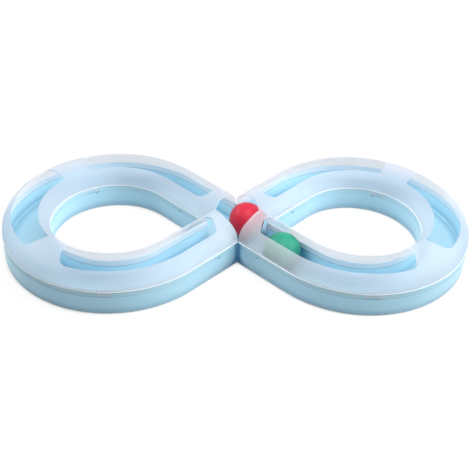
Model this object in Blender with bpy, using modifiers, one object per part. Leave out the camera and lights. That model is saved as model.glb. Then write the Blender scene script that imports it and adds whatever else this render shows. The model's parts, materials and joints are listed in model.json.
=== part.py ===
"""Figure-eight ball track for a cat.

Two channel halves meet at the crossing, an arched cover with paw slots sits on each half, and two
hollow balls roll in the channel. Metres, +Z up, origin on the ground at the centre of the crossing.
"""
import math

import bmesh
import bpy
from mathutils import Matrix, Vector

# Track seen from above
LOOP_RADIUS = 0.098            # centre line of the channel round each loop
BASE_HALF_WIDTH = 0.0262       # channel centre line to the base wall's outer face
COVER_OVERHANG = 0.0004        # cover edge stands this far outside the base wall
SEAT_GAP = 0.0003              # clearance between pieces that touch
ARC_STEP = math.radians(7.5)   # one facet of the loop

# Base section
WALL = 0.0022                  # base wall below the rebate
RIM_WALL = 0.00095             # base wall beside the cover's skirt
BAND_SETBACK = 0.00025         # outer face of the upper band, set back from the lower wall
BAND_HEIGHT = 0.0060           # upper band, from the cover's edge down
WALL_FOOT = 0.0008             # lower edge of the walls above the ground
FLOOR_TOP = 0.0045             # running surface of the balls
FLOOR = 0.0020                 # floor thickness
FLOOR_FILLET = 0.0030          # fillet between floor and walls
RIM_HEIGHT = 0.0288            # cover's lower edge above the ground

# Cover section
COVER_HEIGHT = 0.0505          # crest of the cover above the ground
COVER_WALL = 0.0016            # cover thickness
ARCH_POWER = 2.4               # roundness of the arch: 2 is an ellipse, more is squarer
SKIRT_HEIGHT = 0.0058          # skirt that drops inside the base wall
LEDGE = 0.0012                 # thickness of the ledge that carries the skirt
ARCH_FACETS = 14               # facets of the arch's outer face
INNER_ARCH_FACETS = 10         # facets of the arch's inner face

# Paw slots in the cover. Angles are taken from the loop's far end, tips from the centre of the crossing
SLOT_HALF_WIDTH = 0.0147
END_SLOT_FRONT_ANGLE = math.radians(41.0)
END_SLOT_REAR_ANGLE = math.radians(43.0)
END_SLOT_CORNER = 0.0070
END_SLOT_WIDE_CORNER = 0.0095  # outer corner at the front end
FRONT_SLOT_INNER_ANGLE = math.radians(56.5)   # start of the front slot, inner side
FRONT_SLOT_OUTER_ANGLE = math.radians(65.9)   # start of the front slot, outer side
REAR_SLOT_ANGLE = math.radians(65.0)
FRONT_SLOT_CORNER = 0.0110     # corner at the start of the front slot, outer side
REAR_SLOT_CORNER = 0.0095      # corner at the start of the rear slot, outer side
SLOT_INNER_CORNER = 0.0060     # corner at the start of a front or rear slot, inner side
REAR_TIP = 0.0422              # square tip of the rear slot
REAR_TIP_CORNER = 0.0085
FRONT_TIP = 0.0358             # slanted tip of the front slot, inner part
FRONT_TIP_KNEE = -0.0040       # across the leg, where the slant starts
FRONT_TIP_OUTER = 0.0478       # slanted tip of the front slot, outer side
FRONT_TIP_CORNER = 0.0060
CORNER_FACETS = 5

# Opening between the covers over the crossing
OPENING_CORNER = (0.0252, -0.0015)      # inner corner beside the right loop
OPENING_SHOULDER = (0.0206, 0.0145)     # bend of the rear edge
OPENING_CROTCH = 0.0001        # reach past the crotch of the two covers
OPENING_CORNER_RADIUS = 0.0020
OPENING_SHOULDER_RADIUS = 0.0120
OPENING_BOW = 0.0010           # outward bow of the front edge

# Clips of the cover in notches of the base wall
CLIP_WIDTH = 0.0147
CLIP_WINDOW_WIDTH = 0.0105
CLIP_WINDOW_HEIGHT = 0.0036
TONGUE_SETBACK = 0.0002        # tongue of the wall in the clip's window, back from the band
TONGUE_INSET = 0.0001          # the same tongue, clear of the rebate's inner face
OUTER_CLIP_ANGLE = math.radians(90.0)
INNER_CLIP_ANGLE = math.radians(63.0)

# Round dimples in the walls beside the crossing
DIMPLE_RADIUS = 0.0015
DIMPLE_DEPTH = 0.0005
DIMPLE_FACETS = 12
DIMPLE_DROP = 0.0053           # centre below the cover's edge
OUTER_DIMPLE_ALONG = 0.0560    # along the leg from the centre of the crossing
INNER_DIMPLE_ALONG = 0.0670
PIP_RADIUS = 0.0009            # small round mark under one corner of the inner clip
PIP_ANGLE = math.radians(68.0)
PIP_DROP = 0.0013              # centre below the foot of the clip

# Dovetails that lock the two halves of the floor
DOVETAIL_OFFSET = 0.0140       # from the centre of the crossing along the seam
DOVETAIL_NECK = 0.0100
DOVETAIL_HEAD = 0.0160
DOVETAIL_LENGTH = 0.0090
DOVETAIL_ROOT = 0.0040         # overlap with its own half

# Underside
RIB_THICKNESS = 0.0012
RIB_FOOT = 0.0012              # lower edge of the ribs above the ground
RIB_ANGLES = (0.0, 22.0, 68.0, 94.0)
PAD_RADIUS = 0.0060
PAD_ANGLES = (45.0, 120.0)     # from the far end of the loop, on the front and the rear
PAD_RING_WALL = 0.0012
PAD_RING_FOOT = 0.0012
PAD_FACETS = 24

# Balls
BALL_RADIUS = 0.0200
BALL_WALL = 0.0016
BALL_LAP = 0.0016              # height of the lap joint between the half shells
BALL_FACETS = 24
BALL_RINGS = 7
RED_BALL_ALONG = 0.0162        # along the diagonal leg from the centre of the crossing
GREEN_BALL_ALONG = 0.06627     # along the front leg from the centre of the crossing
GREEN_BALL_LEAN = -0.792       # share of the play across the channel, towards the inner wall

# Worked out from the values above
LOOP_CENTRE = LOOP_RADIUS * math.sqrt(2.0)
COVER_HALF_WIDTH = BASE_HALF_WIDTH + COVER_OVERHANG
CHANNEL_HALF_WIDTH = BASE_HALF_WIDTH - WALL
BAND_HALF_WIDTH = BASE_HALF_WIDTH - BAND_SETBACK
REBATE_HALF_WIDTH = BAND_HALF_WIDTH - RIM_WALL
SKIRT_HALF_WIDTH = REBATE_HALF_WIDTH - SEAT_GAP
RIM_TOP = RIM_HEIGHT - SEAT_GAP
REBATE_FLOOR = RIM_HEIGHT - SKIRT_HEIGHT - SEAT_GAP
FLOOR_UNDER = FLOOR_TOP - FLOOR
ARC_LENGTH = LOOP_RADIUS * math.radians(135.0)
TRACK_LENGTH = ARC_LENGTH + LOOP_RADIUS
CROTCH = COVER_HALF_WIDTH * math.sqrt(2.0)
OVERCUT = 0.01                 # cutters run this far past what they cut
WELD = 0.00001                 # merge distance

SIDES = (("left", -1), ("right", 1))
ROWS = (-1, 1)                 # front and rear of each loop


def clear_scene():
    for item in list(bpy.data.objects):
        bpy.data.objects.remove(item, do_unlink=True)


def make_collection(name):
    group = bpy.data.collections.new(name)
    bpy.context.scene.collection.children.link(group)
    return group


def plastic(name, colour, roughness, alpha=1.0):
    """A moulded plastic or rubber with one colour."""
    material = bpy.data.materials.new(name)
    material.use_nodes = True
    shader = material.node_tree.nodes["Principled BSDF"]
    shader.inputs["Base Color"].default_value = (*colour, 1.0)
    shader.inputs["Roughness"].default_value = roughness
    shader.inputs["Metallic"].default_value = 0.0
    shader.inputs["Alpha"].default_value = alpha
    return material


def add_object(name, mesh, group):
    item = bpy.data.objects.new(name, mesh)
    group.objects.link(item)
    return item


def mesh_from(bm, name):
    bmesh.ops.recalc_face_normals(bm, faces=bm.faces)
    mesh = bpy.data.meshes.new(name)
    bm.to_mesh(mesh)
    bm.free()
    return mesh


def hide_cutter(item):
    item.hide_render = True
    item.display_type = "WIRE"
    return item


def boolean(item, operation, other):
    modifier = item.modifiers.new(operation.lower(), "BOOLEAN")
    modifier.operation = operation
    modifier.solver = "EXACT"
    modifier.object = other


def finish(item, material):
    item.data.materials.append(material)
    item.data.shade_smooth()
    item.data.set_sharp_from_angle(angle=math.radians(35.0))


def track_point(side, row, along, across):
    """Plan position: along runs from the loop's far end to the crossing, across is positive outwards."""
    if along < ARC_LENGTH:
        angle = along / LOOP_RADIUS
        radius = LOOP_RADIUS + across
        return (side * (LOOP_CENTRE + radius * math.cos(angle)), row * radius * math.sin(angle))
    leg = TRACK_LENGTH - along
    return (side * (leg - across) / math.sqrt(2.0), row * (leg + across) / math.sqrt(2.0))


def arch_points(half_width, height, facets, foot):
    """Points over the arch from +across to -across, starting where it is foot above the rim."""
    start = math.asin((foot / height) ** (ARCH_POWER / 2.0))
    points = []
    for step in range(facets + 1):
        angle = start + (math.pi - 2.0 * start) * step / facets
        cosine = math.cos(angle)
        across = math.copysign(half_width * abs(cosine) ** (2.0 / ARCH_POWER), cosine)
        up = height * max(math.sin(angle), 0.0) ** (2.0 / ARCH_POWER)
        points.append((across, RIM_HEIGHT + up))
    return points


def mirrored(points):
    return points + [(-across, up) for across, up in reversed(points)]


def base_section():
    fillet_knee = FLOOR_FILLET * (1.0 - math.sqrt(0.5))
    channel = mirrored([
        (BASE_HALF_WIDTH, WALL_FOOT),
        (BASE_HALF_WIDTH, RIM_HEIGHT - BAND_HEIGHT),
        (BAND_HALF_WIDTH, RIM_HEIGHT - BAND_HEIGHT),
        (BAND_HALF_WIDTH, RIM_TOP),
        (REBATE_HALF_WIDTH, RIM_TOP),
        (REBATE_HALF_WIDTH, REBATE_FLOOR),
        (CHANNEL_HALF_WIDTH, REBATE_FLOOR),
        (CHANNEL_HALF_WIDTH, FLOOR_TOP + FLOOR_FILLET),
        (CHANNEL_HALF_WIDTH - fillet_knee, FLOOR_TOP + fillet_knee),
        (CHANNEL_HALF_WIDTH - FLOOR_FILLET, FLOOR_TOP),
    ])
    underside = [
        (-CHANNEL_HALF_WIDTH, WALL_FOOT),
        (-CHANNEL_HALF_WIDTH, FLOOR_UNDER),
        (CHANNEL_HALF_WIDTH, FLOOR_UNDER),
        (CHANNEL_HALF_WIDTH, WALL_FOOT),
    ]
    return channel + underside


def cover_section():
    arch_height = COVER_HEIGHT - RIM_HEIGHT
    outer = arch_points(COVER_HALF_WIDTH, arch_height, ARCH_FACETS, 0.0)
    inner = arch_points(COVER_HALF_WIDTH - COVER_WALL, arch_height - COVER_WALL, INNER_ARCH_FACETS, LEDGE)
    skirt_foot = RIM_HEIGHT - SKIRT_HEIGHT
    near_skirt = [
        (-SKIRT_HALF_WIDTH, RIM_HEIGHT),
        (-SKIRT_HALF_WIDTH, skirt_foot),
        (-CHANNEL_HALF_WIDTH, skirt_foot),
        (-CHANNEL_HALF_WIDTH, RIM_HEIGHT + LEDGE),
    ]
    far_skirt = [(-across, up) for across, up in reversed(near_skirt)]
    return outer + near_skirt + list(reversed(inner)) + far_skirt


def swept_track(name, section, side, group):
    """One half of the track: the section runs up the rear leg and round to the far end, then mirrors."""
    bm = bmesh.new()
    leg = Vector((side, 1.0, 0.0)).normalized()
    outwards = Vector((-side, 1.0, 0.0)).normalized()
    start = leg * -2.0 * BASE_HALF_WIDTH
    ring = []
    for across, up in section:
        ring.append(bm.verts.new(start + outwards * across + Vector((0.0, 0.0, up))))
    face = bm.faces.new(ring)
    grown = bmesh.ops.extrude_face_region(bm, geom=[face])["geom"]
    moved = [part for part in grown if isinstance(part, bmesh.types.BMVert)]
    bmesh.ops.translate(bm, verts=moved, vec=leg * (LOOP_RADIUS + 2.0 * BASE_HALF_WIDTH))
    end_face = [part for part in grown if isinstance(part, bmesh.types.BMFace)]
    turn = math.radians(135.0) + ARC_STEP
    bmesh.ops.spin(
        bm,
        geom=end_face,
        cent=(side * LOOP_CENTRE, 0.0, 0.0),
        axis=(0.0, 0.0, 1.0),
        angle=-side * turn,
        steps=round(turn / ARC_STEP),
    )
    bmesh.ops.delete(bm, geom=end_face, context="FACES_ONLY")
    item = add_object(name, mesh_from(bm, name), group)
    mirror = item.modifiers.new("front", "MIRROR")
    mirror.use_axis = (False, True, False)
    mirror.use_bisect_axis = (False, True, False)
    mirror.merge_threshold = WELD
    return item


def box(name, low, high, group):
    bm = bmesh.new()
    bmesh.ops.create_cube(bm, size=1.0)
    low = Vector(low)
    high = Vector(high)
    bmesh.ops.transform(
        bm, matrix=Matrix.Translation((low + high) / 2.0) @ Matrix.Diagonal((*(high - low), 1.0)), verts=bm.verts
    )
    return add_object(name, mesh_from(bm, name), group)


def cylinder(name, radius, low, high, facets, group):
    """A cylinder between two points."""
    low = Vector(low)
    high = Vector(high)
    direction = high - low
    bm = bmesh.new()
    bmesh.ops.create_cone(
        bm, cap_ends=True, segments=facets, radius1=radius, radius2=radius, depth=direction.length
    )
    turn = Vector((0.0, 0.0, 1.0)).rotation_difference(direction).to_matrix().to_4x4()
    bmesh.ops.transform(bm, matrix=Matrix.Translation((low + high) / 2.0) @ turn, verts=bm.verts)
    return add_object(name, mesh_from(bm, name), group)


def flat_outline(name, points, low, high, group):
    """A closed plan outline with straight walls from low to high."""
    curve = bpy.data.curves.new(name, "CURVE")
    curve.dimensions = "2D"
    curve.fill_mode = "BOTH"
    curve.extrude = (high - low) / 2.0
    spline = curve.splines.new("POLY")
    spline.points.add(len(points) - 1)
    for slot, (x, y) in zip(spline.points, points):
        slot.co = (x, y, 0.0, 1.0)
    spline.use_cyclic_u = True
    drawn = add_object(name + "_outline", curve, group)
    drawn.location.z = (low + high) / 2.0
    bpy.context.view_layer.update()
    graph = bpy.context.evaluated_depsgraph_get()
    mesh = bpy.data.meshes.new_from_object(drawn.evaluated_get(graph))
    bm = bmesh.new()
    bm.from_mesh(mesh)
    bmesh.ops.remove_doubles(bm, verts=bm.verts, dist=WELD)
    bmesh.ops.recalc_face_normals(bm, faces=bm.faces)
    bm.to_mesh(mesh)
    bm.free()
    item = add_object(name, mesh, group)
    item.matrix_world = drawn.matrix_world.copy()
    bpy.data.objects.remove(drawn, do_unlink=True)
    return item


def joined(name, pieces, group):
    """One object that holds several separate closed shapes."""
    bm = bmesh.new()
    for piece in pieces:
        copy = piece.data.copy()
        copy.transform(piece.matrix_basis)
        bm.from_mesh(copy)
        bpy.data.meshes.remove(copy)
    item = add_object(name, mesh_from(bm, name), group)
    for piece in pieces:
        bpy.data.objects.remove(piece, do_unlink=True)
    return item


def rounded(corners, facets):
    """A closed outline with each corner, given as x, y and radius, rounded off."""
    points = []
    for index, (x, y, radius) in enumerate(corners):
        here = Vector((x, y))
        if radius == 0.0:
            points.append((x, y))
            continue
        before = (Vector(corners[index - 1][:2]) - here).normalized()
        after = (Vector(corners[(index + 1) % len(corners)][:2]) - here).normalized()
        half_angle = before.angle(after) / 2.0
        centre = here + (before + after).normalized() * radius / math.sin(half_angle)
        first = here + before * radius / math.tan(half_angle) - centre
        last = here + after * radius / math.tan(half_angle) - centre
        turn = first.angle_signed(last)
        for step in range(facets + 1):
            points.append(tuple(centre + Matrix.Rotation(-turn * step / facets, 2) @ first))
    return points


def on_track(side, row, outline):
    """Lay an outline given in along and across on the track, with extra points on its long sides."""
    points = []
    stride = LOOP_RADIUS * ARC_STEP
    for index, (along, across) in enumerate(outline):
        next_along, next_across = outline[(index + 1) % len(outline)]
        parts = max(1, round(abs(next_along - along) / stride))
        for step in range(parts):
            share = step / parts
            points.append(track_point(
                side, row, along + (next_along - along) * share, across + (next_across - across) * share
            ))
    return points


def end_slot_outline(side):
    """The slot over the far end of a loop."""
    front = -END_SLOT_FRONT_ANGLE * LOOP_RADIUS
    rear = END_SLOT_REAR_ANGLE * LOOP_RADIUS
    corners = [
        (front, -SLOT_HALF_WIDTH, END_SLOT_CORNER),
        (rear, -SLOT_HALF_WIDTH, END_SLOT_CORNER),
        (rear, SLOT_HALF_WIDTH, END_SLOT_CORNER),
        (front, SLOT_HALF_WIDTH, END_SLOT_WIDE_CORNER),
    ]
    return on_track(side, 1, rounded(corners, CORNER_FACETS))


def rear_slot_outline(side):
    start = REAR_SLOT_ANGLE * LOOP_RADIUS
    tip = TRACK_LENGTH - REAR_TIP
    corners = [
        (start, -SLOT_HALF_WIDTH, SLOT_INNER_CORNER),
        (tip, -SLOT_HALF_WIDTH, REAR_TIP_CORNER),
        (tip, SLOT_HALF_WIDTH, REAR_TIP_CORNER),
        (start, SLOT_HALF_WIDTH, REAR_SLOT_CORNER),
    ]
    return on_track(side, 1, rounded(corners, CORNER_FACETS))


def front_slot_outline(side):
    tip = TRACK_LENGTH - FRONT_TIP
    corners = [
        (FRONT_SLOT_INNER_ANGLE * LOOP_RADIUS, -SLOT_HALF_WIDTH, SLOT_INNER_CORNER),
        (tip, -SLOT_HALF_WIDTH, FRONT_TIP_CORNER),
        (tip, FRONT_TIP_KNEE, FRONT_TIP_CORNER),
        (TRACK_LENGTH - FRONT_TIP_OUTER, SLOT_HALF_WIDTH, FRONT_TIP_CORNER),
        (FRONT_SLOT_OUTER_ANGLE * LOOP_RADIUS, SLOT_HALF_WIDTH, FRONT_SLOT_CORNER),
    ]
    return on_track(side, -1, rounded(corners, CORNER_FACETS))


def opening_outline():
    """Edges of the two covers over the crossing, from the front crotch round the right side and back."""
    crotch = CROTCH + OPENING_CROTCH
    start = Vector((0.0, -crotch))
    corner = Vector(OPENING_CORNER)
    across = (corner - start).normalized()
    bow = start.lerp(corner, 0.5) + Vector((across.y, -across.x)) * 2.0 * OPENING_BOW
    corners = [
        (*start, 0.0),
        (*bow, BASE_HALF_WIDTH),
        (*corner, OPENING_CORNER_RADIUS),
        (*OPENING_SHOULDER, OPENING_SHOULDER_RADIUS),
        (0.0, crotch, 0.0),
    ]
    right = [point for point in rounded(corners, CORNER_FACETS) if point[0] > OPENING_CROTCH]
    left = [(-x, y) for x, y in reversed(right)]
    return [(0.0, -crotch)] + right + [(0.0, crotch)] + left


def sector(name, side, row, angle, half_angle, inner, outer, low, high, group):
    """A block between two distances across the track, centred at an angle round the loop."""
    half = half_angle * LOOP_RADIUS
    middle = angle * LOOP_RADIUS
    points = [
        track_point(side, row, middle - half, inner),
        track_point(side, row, middle, inner),
        track_point(side, row, middle + half, inner),
        track_point(side, row, middle + half, outer),
        track_point(side, row, middle, outer),
        track_point(side, row, middle - half, outer),
    ]
    return flat_outline(name, points, low, high, group)


def clip_places():
    """Each clip's row, angle round the loop and sign of the wall that it sits in."""
    for row in ROWS:
        yield row, OUTER_CLIP_ANGLE, 1
        yield row, INNER_CLIP_ANGLE, -1


def half_angle_at(width, wall):
    """Half angle that a width takes up at the outer face of a wall."""
    return width / 2.0 / (LOOP_RADIUS + wall * BASE_HALF_WIDTH)


def clip_notches(side_name, side, group):
    pieces = []
    for row, angle, wall in clip_places():
        span = sorted((wall * (CHANNEL_HALF_WIDTH + SEAT_GAP), wall * (BASE_HALF_WIDTH + OVERCUT)))
        pieces.append(sector(
            "notch", side, row, angle, half_angle_at(CLIP_WIDTH + 2.0 * SEAT_GAP, wall), span[0], span[1],
            REBATE_FLOOR, RIM_HEIGHT + OVERCUT, group,
        ))
    return joined("notches_" + side_name, pieces, group)


def clip_tabs(side_name, side, group):
    pieces = []
    for row, angle, wall in clip_places():
        span = sorted((wall * (CHANNEL_HALF_WIDTH + SEAT_GAP), wall * BAND_HALF_WIDTH))
        pieces.append(sector(
            "tab", side, row, angle, half_angle_at(CLIP_WIDTH, wall), span[0], span[1],
            RIM_HEIGHT - SKIRT_HEIGHT, RIM_HEIGHT + LEDGE / 2.0, group,
        ))
    return joined("tabs_" + side_name, pieces, group)


def clip_tongues(side_name, side, group):
    """Tongues of the base wall that stand in the windows of the clips."""
    pieces = []
    for row, angle, wall in clip_places():
        span = sorted((wall * (REBATE_HALF_WIDTH + TONGUE_INSET), wall * (BAND_HALF_WIDTH - TONGUE_SETBACK)))
        pieces.append(sector(
            "tongue", side, row, angle, half_angle_at(CLIP_WINDOW_WIDTH - 2.0 * SEAT_GAP, wall), span[0], span[1],
            REBATE_FLOOR - WALL / 2.0, REBATE_FLOOR + CLIP_WINDOW_HEIGHT, group,
        ))
    return joined("tongues_" + side_name, pieces, group)


def clip_windows(side_name, side, group):
    pieces = []
    for row, angle, wall in clip_places():
        span = sorted((wall * SKIRT_HALF_WIDTH, wall * (BASE_HALF_WIDTH + OVERCUT)))
        low = RIM_HEIGHT - SKIRT_HEIGHT
        pieces.append(sector(
            "window", side, row, angle, half_angle_at(CLIP_WINDOW_WIDTH, wall), span[0], span[1],
            low - OVERCUT, low + CLIP_WINDOW_HEIGHT, group,
        ))
    return joined("windows_" + side_name, pieces, group)


def dimples(side_name, side, group):
    """Dimples beside the crossing and the mark under each inner clip."""
    pieces = []
    height = RIM_HEIGHT - DIMPLE_DROP
    marks = (
        (1, TRACK_LENGTH - OUTER_DIMPLE_ALONG, DIMPLE_RADIUS, height),
        (-1, TRACK_LENGTH - INNER_DIMPLE_ALONG, DIMPLE_RADIUS, height),
        (-1, PIP_ANGLE * LOOP_RADIUS, PIP_RADIUS, REBATE_FLOOR - PIP_DROP),
    )
    for row in ROWS:
        for wall, along, radius, up in marks:
            inner = track_point(side, row, along, wall * (BAND_HALF_WIDTH - DIMPLE_DEPTH))
            outer = track_point(side, row, along, wall * (BASE_HALF_WIDTH + OVERCUT))
            pieces.append(cylinder("dimple", radius, (*inner, up), (*outer, up), DIMPLE_FACETS, group))
    return joined("dimples_" + side_name, pieces, group)


def dovetail(name, side, at, grow, low, high, group):
    """A tongue that widens away from its own half, or its socket when grow is set."""
    neck = DOVETAIL_NECK / 2.0 + grow
    head = DOVETAIL_HEAD / 2.0 + grow
    tip = -side * (DOVETAIL_LENGTH + grow)
    root = side * DOVETAIL_ROOT
    points = [(root, at - neck), (0.0, at - neck), (tip, at - head), (tip, at + head), (0.0, at + neck),
              (root, at + neck)]
    return flat_outline(name, points, low, high, group)


def ribs_and_rings(side_name, side, group):
    """Cross ribs and pad rings under the floor, without the rings' bores."""
    pieces = []
    reach = CHANNEL_HALF_WIDTH + WALL / 2.0
    overlap = FLOOR / 4.0
    for row in ROWS:
        for degrees in RIB_ANGLES:
            if degrees == 0.0 and row < 0:
                continue
            pieces.append(sector(
                "rib", side, row, math.radians(degrees), half_angle_at(RIB_THICKNESS, 0), -reach, reach,
                RIB_FOOT, FLOOR_UNDER + overlap, group,
            ))
    for _, place in pad_places(side):
        pieces.append(cylinder(
            "ring", PAD_RADIUS + SEAT_GAP + PAD_RING_WALL, (*place, PAD_RING_FOOT),
            (*place, FLOOR_UNDER + overlap), PAD_FACETS, group,
        ))
    return joined("underside_" + side_name, pieces, group)


def pad_places(side):
    number = 0
    for row in ROWS:
        for degrees in PAD_ANGLES:
            number += 1
            yield number, track_point(side, row, math.radians(degrees) * LOOP_RADIUS, 0.0)


def pad_bores(side_name, side, group):
    pieces = []
    for _, place in pad_places(side):
        pieces.append(cylinder(
            "bore", PAD_RADIUS + SEAT_GAP, (*place, -OVERCUT), (*place, FLOOR_UNDER), PAD_FACETS, group
        ))
    return joined("bores_" + side_name, pieces, group)


def other_half(name, side, group):
    """Everything on the far side of the seam."""
    reach = 2.0 * LOOP_CENTRE
    seam = side * SEAT_GAP / 2.0
    low_x, high_x = sorted((seam, -side * reach))
    return box(name, (low_x, -reach, -OVERCUT), (high_x, reach, COVER_HEIGHT + OVERCUT), group)


def make_base(side_name, side, parts, cutters, material):
    base = swept_track("base_" + side_name, base_section(), side, parts)
    tongue = dovetail("tongue_" + side_name, side, side * DOVETAIL_OFFSET, 0.0, FLOOR_UNDER, FLOOR_TOP, cutters)
    socket = dovetail(
        "socket_" + side_name, -side, -side * DOVETAIL_OFFSET, SEAT_GAP,
        FLOOR_UNDER - OVERCUT, FLOOR_TOP + FLOOR_FILLET, cutters,
    )
    boolean(base, "DIFFERENCE", hide_cutter(other_half("far_side_" + side_name, side, cutters)))
    boolean(base, "UNION", hide_cutter(tongue))
    boolean(base, "UNION", hide_cutter(ribs_and_rings(side_name, side, cutters)))
    boolean(base, "DIFFERENCE", hide_cutter(pad_bores(side_name, side, cutters)))
    boolean(base, "DIFFERENCE", hide_cutter(socket))
    boolean(base, "DIFFERENCE", hide_cutter(clip_notches(side_name, side, cutters)))
    boolean(base, "UNION", hide_cutter(clip_tongues(side_name, side, cutters)))
    boolean(base, "DIFFERENCE", hide_cutter(dimples(side_name, side, cutters)))
    finish(base, material)


def make_cover(side_name, side, parts, cutters, opening, material):
    cover = swept_track("cover_" + side_name, cover_section(), side, parts)
    low = RIM_HEIGHT - SKIRT_HEIGHT - OVERCUT
    high = COVER_HEIGHT + OVERCUT
    boolean(cover, "DIFFERENCE", hide_cutter(other_half("beyond_" + side_name, side, cutters)))
    boolean(cover, "DIFFERENCE", opening)
    end = flat_outline("end_slot_" + side_name, end_slot_outline(side), low, high, cutters)
    boolean(cover, "DIFFERENCE", hide_cutter(end))
    rear = flat_outline("rear_slot_" + side_name, rear_slot_outline(side), low, high, cutters)
    boolean(cover, "DIFFERENCE", hide_cutter(rear))
    front = flat_outline("front_slot_" + side_name, front_slot_outline(side), low, high, cutters)
    boolean(cover, "DIFFERENCE", hide_cutter(front))
    boolean(cover, "UNION", hide_cutter(clip_tabs(side_name, side, cutters)))
    boolean(cover, "DIFFERENCE", hide_cutter(clip_windows(side_name, side, cutters)))
    finish(cover, material)


def half_shell_profile(upper):
    """Profile of a half shell down its outer side and back up its inner side."""
    inner = BALL_RADIUS - BALL_WALL
    skin = (BALL_WALL - SEAT_GAP) / 2.0
    quarter = math.radians(90.0)
    seam = math.asin(SEAT_GAP / 2.0 / BALL_RADIUS)
    outer_arc = []
    inner_arc = []
    for step in range(BALL_RINGS + 1):
        share = step / BALL_RINGS
        outer_arc.append(quarter - (quarter - seam) * share)
        inner_arc.append(quarter - quarter * share)
    outer = [(BALL_RADIUS * math.cos(a), BALL_RADIUS * math.sin(a)) for a in outer_arc]
    if upper:
        lap = BALL_LAP
        edge = BALL_RADIUS - skin
        inner_start = math.asin(lap / inner)
        inside = [(inner * math.cos(a), inner * math.sin(a)) for a in inner_arc if a > inner_start]
        step_points = [(edge, SEAT_GAP / 2.0), (edge, lap), (inner * math.cos(inner_start), lap)]
        profile = outer + step_points + list(reversed(inside))
    else:
        lap = BALL_LAP - SEAT_GAP
        edge = inner + skin
        outer = [(x, -z) for x, z in reversed(outer)]
        inside = [(inner * math.cos(a), -inner * math.sin(a)) for a in inner_arc]
        step_points = [(math.sqrt(inner ** 2 - lap ** 2), lap), (edge, lap), (edge, -SEAT_GAP / 2.0)]
        profile = inside + step_points + outer
    return [(0.0 if abs(x) < WELD else x, z) for x, z in profile]


def half_shell(name, upper, group):
    """A hollow hemisphere turned about the vertical axis, with its lap joint."""
    profile = half_shell_profile(upper)
    mesh = bpy.data.meshes.new(name)
    mesh.from_pydata([(x, 0.0, z) for x, z in profile], [(i, i + 1) for i in range(len(profile) - 1)], [])
    item = add_object(name, mesh, group)
    screw = item.modifiers.new("turn", "SCREW")
    screw.axis = "Z"
    screw.angle = math.radians(360.0)
    screw.steps = BALL_FACETS
    screw.render_steps = BALL_FACETS
    screw.use_merge_vertices = True
    screw.merge_threshold = WELD
    screw.use_smooth_shade = True
    return item


def make_ball(colour_name, joint_place, rest_place, parts, material):
    """A ball of two half shells, carried by an empty on its joint."""
    carrier = add_object(colour_name + "_ball_joint", None, parts)
    carrier.empty_display_size = BALL_RADIUS
    carrier.location = joint_place
    for half_name, upper in (("upper", True), ("lower", False)):
        shell = half_shell(colour_name + "_ball_" + half_name, upper, parts)
        shell.data.materials.append(material)
        shell.parent = carrier
        shell.location = Vector(rest_place) - Vector(joint_place)


def make_pads(side_name, side, parts, material):
    for number, place in pad_places(side):
        pad = cylinder(
            "foot_pad_%s_%d" % (side_name, number), PAD_RADIUS, (*place, 0.0),
            (*place, FLOOR_UNDER - SEAT_GAP), PAD_FACETS, parts,
        )
        finish(pad, material)


def build():
    clear_scene()
    parts = make_collection("figure_eight_ball_track")
    cutters = make_collection("cutters")
    blue = plastic("light_blue_plastic", (0.40, 0.66, 0.80), 0.35)
    frosted = plastic("frosted_plastic", (0.86, 0.88, 0.93), 0.40, 0.60)
    red = plastic("red_plastic", (0.68, 0.03, 0.06), 0.45)
    green = plastic("green_plastic", (0.04, 0.45, 0.28), 0.45)
    rubber = plastic("grey_rubber", (0.30, 0.31, 0.33), 0.80)

    opening = hide_cutter(flat_outline(
        "crossing_opening", opening_outline(), RIM_HEIGHT - SKIRT_HEIGHT - OVERCUT, COVER_HEIGHT + OVERCUT, cutters
    ))
    for side_name, side in SIDES:
        make_base(side_name, side, parts, cutters, blue)
        make_cover(side_name, side, parts, cutters, opening, frosted)
        make_pads(side_name, side, parts, rubber)

    ball_height = FLOOR_TOP + SEAT_GAP + BALL_RADIUS
    red_at = RED_BALL_ALONG / math.sqrt(2.0)
    red_place = (red_at, red_at, ball_height)
    make_ball("red", red_place, red_place, parts, red)
    play = CHANNEL_HALF_WIDTH - BALL_RADIUS
    green_at = track_point(1, -1, TRACK_LENGTH - GREEN_BALL_ALONG, GREEN_BALL_LEAN * play)
    green_place = (*green_at, ball_height)
    make_ball("green", (LOOP_CENTRE, 0.0, ball_height), green_place, parts, green)
    bpy.context.view_layer.update()


build()
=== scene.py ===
"""Looks of the figure-eight cat ball track: blue channel, frosted covers and two rolling balls."""
import json
import math

import bmesh
import bpy
from mathutils import Matrix, Vector

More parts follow.
